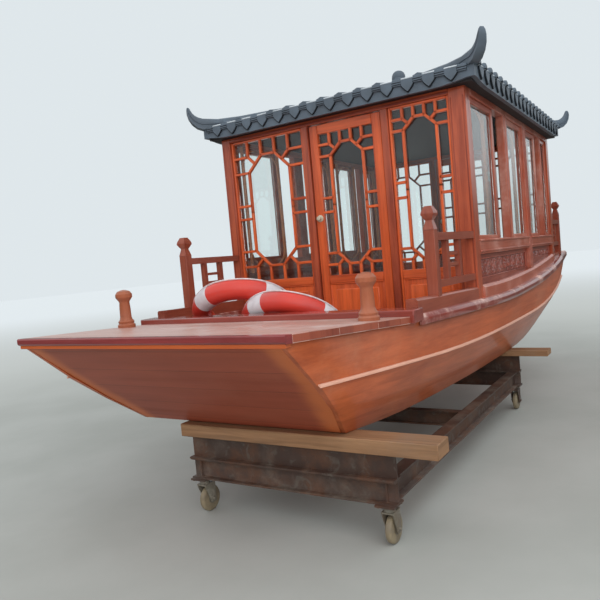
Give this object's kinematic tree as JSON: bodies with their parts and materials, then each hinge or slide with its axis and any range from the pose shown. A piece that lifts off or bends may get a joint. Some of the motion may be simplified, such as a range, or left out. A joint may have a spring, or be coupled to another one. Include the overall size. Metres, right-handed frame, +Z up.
{
  "type": "wooden pleasure boat with tiled cabin roof on a wheeled trolley",
  "caption": "Flat-bottomed painted wooden pleasure boat with a glazed lattice cabin under a hipped tile roof with upturned corners, parked on a steel trolley with casters.",
  "frame": {"origin": "centre of the bounding box's footprint, on the floor under the casters", "axes": "+X towards the bow, +Y to port, +Z up"},
  "size_m": [5.838, 2.3996, 3.065],
  "materials": {
    "hull_paint": "semi-gloss orange-brown varnish on planks",
    "ramp_paint": "worn brown paint",
    "deck_paint": "glossy rose-brown deck varnish",
    "trim_paint": "glossy red-brown varnish",
    "joinery": "glossy orange-red varnish",
    "leaf_joinery": "glossy orange varnish",
    "roof_tile": "matt grey moulded tile sheet",
    "ceiling_board": "dark boards",
    "pane": "clear",
    "ring_cover": "orange-red with white bands",
    "trolley_steel": "rusty brown primer",
    "timber": "raw sawn",
    "wheel_nylon": "cream moulded wheel"
  },
  "bodies": {
    "boat_and_trolley": {"side_planking_port": "hull_paint", "side_planking_starboard": "hull_paint", "bottom_planking": "hull_paint", "transom": "hull_paint", "bollard_port": "hull_paint", "bollard_starboard": "hull_paint", "bow_ramp": "ramp_paint", "gunwale_port": "trim_paint", "gunwale_starboard": "trim_paint", "coaming_beam": "trim_paint", "sole_and_benches": "trim_paint", "foredeck": "deck_paint", "stern_deck": "deck_paint", "railing_bow_port": "joinery", "railing_bow_starboard": "joinery", "railing_stern_port": "joinery", "railing_stern_starboard": "joinery", "front_frame": "joinery", "rear_frame": "joinery", "side_frame_port": "joinery", "side_frame_starboard": "joinery", "front_lattice_starboard": "leaf_joinery", "front_lattice_port": "leaf_joinery", "rear_lattice_starboard": "leaf_joinery", "rear_lattice_port": "leaf_joinery", "carved_panel_fore_port": "trim_paint", "carved_panel_fore_starboard": "trim_paint", "carved_panel_aft_port": "trim_paint", "carved_panel_aft_starboard": "trim_paint", "front_glass_starboard": "pane", "front_glass_port": "pane", "rear_glass_starboard": "pane", "rear_glass_port": "pane", "window_glass_1_port": "pane", "window_glass_1_starboard": "pane", "window_glass_2_port": "pane", "window_glass_2_starboard": "pane", "window_glass_3_port": "pane", "window_glass_3_starboard": "pane", "window_glass_4_port": "pane", "window_glass_4_starboard": "pane", "ceiling": "ceiling_board", "roof_shell": "roof_tile", "roof_ridges": "roof_tile", "life_ring_upper": "ring_cover", "life_ring_middle": "ring_cover", "life_ring_lower": "ring_cover", "trolley_frame": "trolley_steel", "trolley_timber_near": "timber", "trolley_timber_far": "timber"},
    "front_door": {"front_door": "leaf_joinery", "front_door_glass": "pane"},
    "rear_door": {"rear_door": "leaf_joinery", "rear_door_glass": "pane"},
    "caster_fork_near_port": {"caster_fork_near_port": "trolley_steel"},
    "caster_fork_near_starboard": {"caster_fork_near_starboard": "trolley_steel"},
    "caster_wheel_near_port": {"caster_wheel_near_port": "wheel_nylon"},
    "caster_wheel_near_starboard": {"caster_wheel_near_starboard": "wheel_nylon"},
    "caster_wheel_far_port": {"caster_wheel_far_port": "wheel_nylon"},
    "caster_wheel_far_starboard": {"caster_wheel_far_starboard": "wheel_nylon"}
  },
  "joints": [
    {"name": "front_door_hinge", "type": "hinge", "parent": "boat_and_trolley", "child": "front_door", "pos_m": [0.75, 0.4, 1.575], "axis": [0, 0, 1], "range_deg": [-90, 0]},
    {"name": "rear_door_hinge", "type": "hinge", "parent": "boat_and_trolley", "child": "rear_door", "pos_m": [-1.942, 0.4, 1.575], "axis": [0, 0, 1], "range_deg": [0, 90]},
    {"name": "near_port_swivel", "type": "hinge", "parent": "boat_and_trolley", "child": "caster_fork_near_port", "pos_m": [2.209, 0.885, 0.18], "axis": [0, 0, 1], "continuous": true},
    {"name": "near_port_wheel_spin", "type": "hinge", "parent": "caster_fork_near_port", "child": "caster_wheel_near_port", "pos_m": [2.177, 0.885, 0.075], "axis": [0, 1, 0], "continuous": true},
    {"name": "near_starboard_swivel", "type": "hinge", "parent": "boat_and_trolley", "child": "caster_fork_near_starboard", "pos_m": [2.209, -0.285, 0.18], "axis": [0, 0, 1], "continuous": true},
    {"name": "near_starboard_wheel_spin", "type": "hinge", "parent": "caster_fork_near_starboard", "child": "caster_wheel_near_starboard", "pos_m": [2.177, -0.285, 0.075], "axis": [0, 1, 0], "continuous": true},
    {"name": "far_port_wheel_spin", "type": "hinge", "parent": "boat_and_trolley", "child": "caster_wheel_far_port", "pos_m": [-0.453, 0.885, 0.075], "axis": [0, 1, 0], "continuous": true},
    {"name": "far_starboard_wheel_spin", "type": "hinge", "parent": "boat_and_trolley", "child": "caster_wheel_far_starboard", "pos_m": [-0.453, -0.285, 0.075], "axis": [0, 1, 0], "continuous": true}
  ]
}
